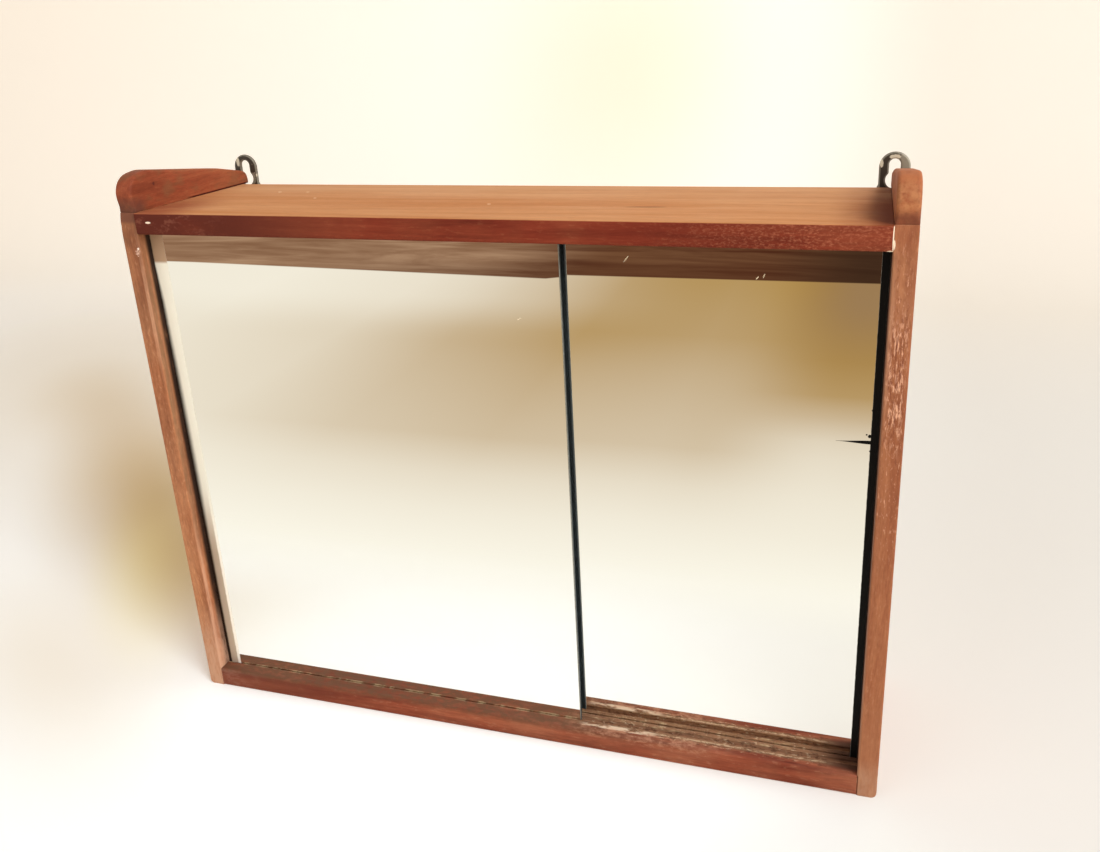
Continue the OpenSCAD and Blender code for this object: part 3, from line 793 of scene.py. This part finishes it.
def resampled(outline, count):
    closed = [Vector(point) for point in outline] + [Vector(outline[0])]
    lengths = [(after - before).length for before, after in zip(closed, closed[1:])]
    step = sum(lengths) / count
    places, index, start = [], 0, 0
    for number in range(count):
        total = number * step
        while start + lengths[index] < total:
            start += lengths[index]
            index += 1
        share = (total - start) / lengths[index]
        places.append(closed[index].lerp(closed[index + 1], share))
    return places


def earOutline():
    points = [(ear["foot"][0], 0), (ear["foot"][1], 0)]
    for centreY, centreZ, radius in (ear["nose"], ear["crest"], ear["belly"], ear["tail"]):
        for step in range(90):
            angle = math.radians(4 * step)
            height = max(0.0, centreZ + radius * math.sin(angle))  # the wheels reach below the flat foot
            points.append((round(centreY + radius * math.cos(angle), 7), round(height, 7)))
    places = resampled(convexOutline(points), ear["points"])
    for _ in range(3):  # eases the joints between the arcs
        places = [
            place if place.y < 0.001 else place * 0.5 + (before + after) * 0.25
            for before, place, after in zip(places[-1:] + places[:-1], places, places[1:] + places[:1])
        ]
    return places


def carvedEar(node):
    low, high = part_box(node)
    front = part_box("left_side")[0].y
    outline = earOutline()
    normals = []
    for before, after in zip(outline[-1:] + outline[:-1], outline[1:] + outline[:1]):
        tangent = (after - before).normalized()
        normals.append(Vector((tangent.y, -tangent.x)))
    length = high.y - front
    middleX, halfWidth = (low.x + high.x) / 2, (high.x - low.x) / 2
    mesh = bmesh.new()
    rings = []
    for side, steps in ((-1, range(ear["rings"] + 1)), (1, range(ear["rings"], -1, -1))):
        for step in steps:
            angle = math.radians(90 * step / ear["rings"])
            ring = []
            for place, normal in zip(outline, normals):
                share = min(1.0, place.x / length)
                radius = ear["noseRound"] + (ear["tailRound"] - ear["noseRound"]) * share
                lift = min(1.0, place.y / ear["footLift"])
                radius = ear["footRound"] + (radius - ear["footRound"]) * lift
                across = halfWidth - radius * (1 - math.cos(angle))
                y, z = place - normal * radius * (1 - math.sin(angle))
                ring.append(mesh.verts.new((middleX + side * across, front + y, low.z + max(0.0, z))))
            rings.append(ring)
    for near, far in zip(rings, rings[1:]):
        bridged(mesh, near, far)
    mesh.faces.new(rings[0])
    mesh.faces.new(rings[-1])
    bmesh.ops.remove_doubles(mesh, verts=mesh.verts, dist=1e-6)
    bmesh.ops.recalc_face_normals(mesh, faces=mesh.faces)
    shaded(mesh, 50)
    name = node + "_carved"
    setPiece(name, meshOf(mesh, name), "cabinet", [teaks["ear"]], [node])


for node in ("left_ear", "right_ear"):
    carvedEar(node)
print("ears carved")


# Fasteners: one small shape, set on every place that the frame holds one

def islands(node):  # the box of each separate solid in a node
    mesh = mergedCopy(node)
    waiting, boxes = set(mesh.verts), []
    while waiting:
        group, edge = [], [waiting.pop()]
        while edge:
            vertex = edge.pop()
            group.append(vertex.co.copy())
            for link in vertex.link_edges:
                other = link.other_vert(vertex)
                if other in waiting:
                    waiting.remove(other)
                    edge.append(other)
        low = Vector([min(co[axis] for co in group) for axis in range(3)])
        high = Vector([max(co[axis] for co in group) for axis in range(3)])
        boxes.append((low, high))
    mesh.free()
    return sorted(boxes, key=lambda box: tuple(box[0]))


def middleOf(low, high, y):  # the middle of a box, at this depth
    return Vector(((low.x + high.x) / 2, y, (low.z + high.z) / 2))


def newTree(name, sizes):  # with an input for each size and one for the material
    tree = bpy.data.node_groups.new(name, "GeometryNodeTree")
    tree.is_modifier = True
    tree.interface.new_socket("Geometry", in_out="OUTPUT", socket_type="NodeSocketGeometry")
    tree.interface.new_socket("Geometry", in_out="INPUT", socket_type="NodeSocketGeometry")
    for label, value in sizes.items():
        tree.interface.new_socket(label, in_out="INPUT", socket_type="NodeSocketFloat").default_value = value
    tree.interface.new_socket("Material", in_out="INPUT", socket_type="NodeSocketMaterial")
    return tree, addNode(tree, "NodeGroupInput").outputs


def halved(size):
    return product(size, 0.5)


def negative(size):
    return product(size, -1)


def lifted(shape, lift):
    offset = addNode(shape.id_data, "ShaderNodeCombineXYZ", {"Z": lift}).outputs[0]
    return output("GeometryNodeTransform", {"Geometry": shape, "Translation": offset})


def rod(radius, depth, lift, vertices):  # a closed round bar that starts at lift and runs up Z
    bar = follow("GeometryNodeMeshCylinder", {"Vertices": vertices, "Radius": radius, "Depth": depth})
    return lifted(bar.outputs["Mesh"], plus(lift, halved(depth)))


def taper(bottom, top, depth, lift, vertices=32):  # the same, as a cone
    sizes = {"Vertices": vertices, "Radius Top": top, "Radius Bottom": bottom, "Depth": depth}
    return lifted(follow("GeometryNodeMeshCone", sizes).outputs["Mesh"], lift)


def finishTree(tree, start, *parts):  # sets the parts on every point and gives them their material
    join = addNode(tree, "GeometryNodeJoinGeometry")
    for part in parts:
        tree.links.new(part, join.inputs[0])
    way = addNode(tree, "GeometryNodeInputNamedAttribute", {"Name": "turn"}, data_type="FLOAT_VECTOR")
    flat = output("GeometryNodeSetShadeSmooth", {"Geometry": join.outputs[0], "Shade Smooth": False})
    standing = output("GeometryNodeInstanceOnPoints",
                      {"Points": start["Geometry"], "Instance": flat, "Rotation": way.outputs[0]})
    real = output("GeometryNodeRealizeInstances", {"Geometry": standing})
    done = output("GeometryNodeSetMaterial", {"Geometry": real, "Material": start["Material"]})
    follow("NodeGroupOutput", {"Geometry": done})


def fromTree(name, tree, places, sizes, material, replaced):
    points = bpy.data.meshes.new(name)
    points.from_pydata([place for place, _ in places], [], [])
    turns = points.attributes.new("turn", "FLOAT_VECTOR", "POINT")
    for item, (_, turn) in zip(turns.data, places):
        item.vector = turn
    piece = newObject(name, points)
    modifier = piece.modifiers.new("shape", "NODES")
    modifier.node_group = tree
    values = {**sizes, "Material": material}
    for item in tree.interface.items_tree:
        if item.in_out == "INPUT" and item.name in values:
            modifier[item.identifier] = values[item.name]
    graph = bpy.context.evaluated_depsgraph_get()
    result = bpy.data.meshes.new_from_object(piece.evaluated_get(graph))
    piece.modifiers.remove(modifier)
    piece.data = result
    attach(piece, "cabinet")
    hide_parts(*replaced)


screw = {"Head": 0.0062, "Shank": 0.0032, "Length": 0.018, "Cone": 0.0015, "Slot width": 0.0009,
         "Slot depth": 0.0009}
slotTurns = (0.35, -0.2, 0.1, 0.6)  # no two slots stand alike


def slottedScrews():
    tree, start = newTree("slottedScrews", screw)
    shank = halved(start["Shank"])
    sunk = taper(shank, halved(start["Head"]), start["Cone"], negative(start["Cone"]))
    size = output("ShaderNodeCombineXYZ", {"X": product(start["Head"], 1.5), "Y": start["Slot width"],
                                           "Z": product(start["Slot depth"], 2)})
    cutter = follow("GeometryNodeMeshCube", {"Size": size}).outputs["Mesh"]
    slotted = follow("GeometryNodeMeshBoolean", {"Mesh 1": sunk, "Mesh 2": cutter}, operation="DIFFERENCE")
    body = rod(shank, minus(start["Length"], start["Cone"]), negative(start["Length"]), 20)
    finishTree(tree, start, slotted.outputs["Mesh"], body)
    nodes = ("left_hanger_screws", "right_hanger_screws")
    places = []
    for index, (low, high) in enumerate(box for node in nodes for box in islands(node)):
        places.append((middleOf(low, high, high.y), (-math.pi / 2, slotTurns[index % 4], 0)))
    fromTree("hanger_screws_slotted", tree, places, screw, steels["screw"], nodes)


nail = {"Head": 0.0036, "Rim": 0.0006, "Crown": 0.0003, "Shank": 0.0014, "Length": 0.0215}


def panelNails():
    tree, start = newTree("panelNails", nail)
    head = halved(start["Head"])
    rim = rod(head, start["Rim"], negative(start["Rim"]), 20)
    crown = taper(head, product(head, 0.6), start["Crown"], 0, 20)
    body = rod(halved(start["Shank"]), start["Length"], negative(start["Length"]), 12)
    finishTree(tree, start, rim, crown, body)
    places = [
        (middleOf(low, high, high.y - nail["Crown"] / 2), (-math.pi / 2, 0, 0))
        for low, high in islands("back_panel_nails")
    ]
    fromTree("panel_nails_flat", tree, places, nail, steels["nail"], ["back_panel_nails"])


pin = {"Shank": 0.005, "Collar": 0.009, "Collar thickness": 0.0015, "End": 0.006, "End length": 0.008,
       "Chamfer": 0.0007, "Depth": 0.008}


def shelfPins():
    tree, start = newTree("shelfPins", pin)
    end, collarTop = halved(start["End"]), start["Collar thickness"]
    shank = rod(halved(start["Shank"]), start["Depth"], negative(start["Depth"]), 24)
    collar = rod(halved(start["Collar"]), collarTop, 0, 32)
    straight = minus(start["End length"], start["Chamfer"])
    body = rod(end, straight, collarTop, 24)
    narrow = minus(end, start["Chamfer"])
    tip = taper(end, narrow, start["Chamfer"], plus(collarTop, straight), 24)
    finishTree(tree, start, shank, collar, body, tip)
    nodes = ("lower_shelf_pins", "upper_shelf_pins")
    places = []
    for low, high in (box for node in nodes for box in islands(node)):
        leftward = low.x < 0
        faceX = low.x + pin["Depth"] if leftward else high.x - pin["Depth"]
        turn = (0, math.pi / 2 if leftward else -math.pi / 2, 0)
        places.append((Vector((faceX, (low.y + high.y) / 2, (low.z + high.z) / 2)), turn))
    fromTree("shelf_pins_turned", tree, places, pin, steels["brass"], nodes)


slottedScrews()
panelNails()
shelfPins()
print("fasteners set")


# Pieces whose shape stays as the frame has it

def dress(node, material):
    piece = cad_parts[node]
    piece.data.materials.clear()
    piece.data.materials.append(material)


dress("back_panel", panelPly)
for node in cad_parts:
    if node.endswith("_dowels"):
        dress(node, dowelBeech)
print("panel and dowels dressed")


# Stage: a pale sweep, and far in front of the cabinet the darker ground that only the mirrors see

stage = {
    "colour": tone(246, 236, 216),
    "paper": (0.75, 0.86, 0.93, 1),
    "shadowTan": tone(214, 186, 132),  # painted shadow: the floor left of the cabinet is a little warmer and darker
    "glowNear": (0.29, 0.19, 0.13, 1),
    "glowFar": (0.49, 0.33, 0.20, 1),
    "glowRise": (0.6, 2),
    # painted shade: the sweep grows a little darker to the right
    "rightTone": tone(232, 228, 224),
    # painted shadow of the cabinet on the floor left of it; the last spot tints the backdrop higher up
    "tanSpots": [
        {"at": (-0.66, 0.27, 0), "size": (0.50, 0.17, 1), "turn": 2.37, "share": 0.75},
        {"at": (-1.05, 0.62, 0), "size": (0.85, 0.5, 1), "turn": 2.45, "share": 0.32},
        {"at": (-0.43, 0.11, 0), "size": (0.20, 0.11, 1), "turn": 2.2, "share": 0.55},
        {"at": (-0.47, -0.095, 0), "size": (0.32, 0.13, 1), "turn": 2.6, "share": 0.28},
        {"at": (-0.515, 0.105, 0), "size": (0.30, 0.088, 1), "turn": 2.26, "share": 0.75,
         "colour": tone(255, 247, 198)},
        {"at": (-0.97, 0.53, 0), "size": (0.32, 0.15, 1), "turn": 2.4, "share": 0.3},
        {"at": (-0.40, 2.2, 0.45), "size": (0.62, 1.6, 0.7), "turn": 0, "share": 0.9,
         "colour": tone(255, 242, 228)},
    ],
    "bendStart": 1.3,
    "bendRadius": 0.9,
    "halfWidth": 4,
    "front": -6,
    "height": 4,
    "drop": 0.0002,
}


def sweepMesh():
    profile = [(stage["front"], 0), (stage["bendStart"], 0)]
    for step in range(1, 25):
        angle = math.radians(90 * step / 24)
        profile.append((stage["bendStart"] + stage["bendRadius"] * math.sin(angle),
                        stage["bendRadius"] * (1 - math.cos(angle))))
    profile.append((profile[-1][0], stage["height"]))
    sides = (-stage["halfWidth"], stage["halfWidth"])
    points = [(x, y, z - stage["drop"]) for y, z in profile for x in sides]
    faces = [(2 * i, 2 * i + 1, 2 * i + 3, 2 * i + 2) for i in range(len(profile) - 1)]
    data = bpy.data.meshes.new("sweep")
    data.from_pydata(points, [], faces)
    for polygon in data.polygons:
        polygon.use_smooth = True
    return data


def sweepMaterial():  # pale paper; where it is seen, a faint warm glow evens it out
    material, tree, place = blankMaterial("sweepPaper")
    across, away, _ = axesOf(place)
    plain = addNode(tree, "ShaderNodeBsdfDiffuse", {"Color": stage["colour"]}).outputs[0]
    warmth = mixed(ranged(away, *stage["glowRise"]), stage["glowNear"], stage["glowFar"])
    # painted shade towards the right
    tint = mixed(ranged(across, -0.1, 0.5), (1, 1, 1, 1), stage["rightTone"])
    # painted shadow spots, and a tint higher on the backdrop
    for mark in stage["tanSpots"]:
        far = farFrom(place, mark["at"], mark["size"], (0, 0, mark["turn"]))
        shade = mark.get("colour", stage["shadowTan"])
        tint = mixed(ranged(far, 0, 1, mark["share"], 0), tint, shade, "MULTIPLY")
    paper = output("ShaderNodeBsdfDiffuse", {"Color": mixed(1, stage["paper"], tint, "MULTIPLY")})
    glow = output("ShaderNodeEmission", {"Color": mixed(1, warmth, tint, "MULTIPLY")})
    both = output("ShaderNodeAddShader", {0: paper, 1: glow})
    blend = output("ShaderNodeMixShader", {0: whereSeen(tree), 1: plain, 2: both})
    follow("ShaderNodeOutputMaterial", {"Surface": blend})
    return material


sweepData = sweepMesh()
sweepData.materials.append(sweepMaterial())
sweep = newObject("sweep", sweepData)


ground = {
    # cream near the cabinet and tan further out: a painted shadow on the ground
    "near": (1.06, 1.03, 0.93, 1),
    "far": (0.42, 0.22, 0.01, 1),
    "away": [(0.30, 0), (0.42, 0.16), (0.52, 0.32), (0.64, 0.58), (0.95, 0.75), (1.15, 0.87), (1.55, 0.93)],
    "awayRight": [(0.30, 0), (0.42, 0.13), (0.52, 0.20), (0.64, 0.31), (0.70, 0.40), (0.79, 0.66),
                  (0.88, 0.85), (1.05, 0.92), (1.55, 0.97)],
    "corner": (0.335, 0.212, 0.115, 1),
    "across": [(-1.15, 0.27), (-0.75, 0.48), (-0.5, 0.82), (-0.25, 1), (0, 0.93), (0.25, 1)],
    "lighter": 0.42,  # share that the shade loses at the far left
    "edge": 1.5,  # a brown band starts this far in front, plus the amounts by place
    "edgeMore": [(-1.5, 0.105), (-0.46, 0.056), (-0.42, 0.078), (0.3, 0.090)],
    "reach": (-4, -6, 4, -0.18),
    "lift": 0.0004,
    "boards": (0.22, 0.8, 1),
    "brownLeft": (tone(132, 94, 68), tone(182, 146, 116)),
    "brownRight": (tone(80, 42, 26), tone(120, 82, 56)),
    "brownCorner": tone(52, 37, 26),
}


def farGround():  # seen in the mirrors only
    material, tree, place = blankMaterial("farGround")
    across, away, _ = axesOf(place)
    away = product(away, -1)
    boards = noiseOf(stretched(place, ground["boards"]), 8, 5, 0.6, 1.2)
    boards = ranged(boards, 0.25, 0.75)
    left, right = mixed(boards, *ground["brownLeft"]), mixed(boards, *ground["brownRight"])
    brown = mixed(ranged(across, -0.75, -0.35), left, right)
    past = minus(minus(away, ground["edge"]), curved(across, ground["edgeMore"]))
    darker = product(ranged(past, 0, 0.2, 0.45, 0), ranged(across, -1.3, -0.6))
    brown = mixed(darker, brown, ground["brownRight"][0])
    brown = mixed(ranged(across, 0, 0.3, 0, 0.75), brown, ground["brownCorner"])
    lighter = product(ranged(away, 1.04, 1.39), ranged(across, -0.67, 0, 1, 0), -ground["lighter"])
    # painted shadow: the share of tan by distance and by side
    deeper = mixed(ranged(across, 0.05, 0.24), curved(away, ground["away"]),
                   curved(away, ground["awayRight"]))
    shade = product(deeper, curved(across, ground["across"]), plus(lighter, 1))
    cream = mixed(shade, ground["near"], ground["far"])
    corner = product(ranged(away, 0.8, 1.45), ranged(across, 0.08, 0.28), 0.8)
    cream = mixed(corner, cream, ground["corner"])
    glow = output("ShaderNodeEmission", {"Color": mixed(ranged(past, -0.006, 0.006), cream, brown)})
    clear = addNode(tree, "ShaderNodeBsdfTransparent").outputs[0]
    blend = output("ShaderNodeMixShader", {0: ranged(away, 0.2, 0.34), 1: clear, 2: glow})
    follow("ShaderNodeOutputMaterial", {"Surface": blend})
    left, front, right, back = ground["reach"]
    corners = ((left, front), (right, front), (right, back), (left, back))
    data = bpy.data.meshes.new("farGround")
    data.from_pydata([(x, y, ground["lift"]) for x, y in corners], [], [(0, 1, 2, 3)])
    data.materials.append(material)
    card = newObject("farGround", data)
    card.visible_camera = card.visible_diffuse = card.visible_shadow = False


farGround()


lamps = {
    "key": {"place": (2.2, -1.7, 3.2), "size": 1.3, "power": 92, "colour": (1, 0.985, 0.965)},
    "window": {"place": (3, -1.5, 1.3), "size": 2.2, "power": 55, "colour": (1, 0.985, 0.965)},
    "fill": {"place": (-1.9, -2.2, 1.8), "size": 2.4, "power": 22, "colour": (1, 0.97, 0.93)},
}
lampAim = Vector((0, 0, 0.2))
for name, lamp in lamps.items():
    data = bpy.data.lights.new(name, "AREA")
    data.size = lamp["size"]
    data.energy = lamp["power"]
    data.color = lamp["colour"]
    light = newObject(name, data)
    light.location = lamp["place"]
    light.rotation_euler = (lampAim - light.location).to_track_quat("-Z", "Y").to_euler()

world = bpy.data.worlds.new("studio")
bpy.context.scene.world = world
world.use_nodes = True
room = {"colour": tone(255, 250, 240), "light": 0.32, "seen": 0.86}  # it looks paler than it lights
sky = world.node_tree
dim = sky.nodes["Background"]
dim.inputs["Color"].default_value = room["colour"]
dim.inputs["Strength"].default_value = room["light"]
pale = addNode(sky, "ShaderNodeBackground", {"Color": room["colour"], "Strength": room["seen"]}).outputs[0]
skyBlend = addNode(sky, "ShaderNodeMixShader", {0: whereSeen(sky), 1: dim.outputs[0], 2: pale}).outputs[0]
sky.links.new(skyBlend, sky.nodes["World Output"].inputs["Surface"])
print("stage and lights set")
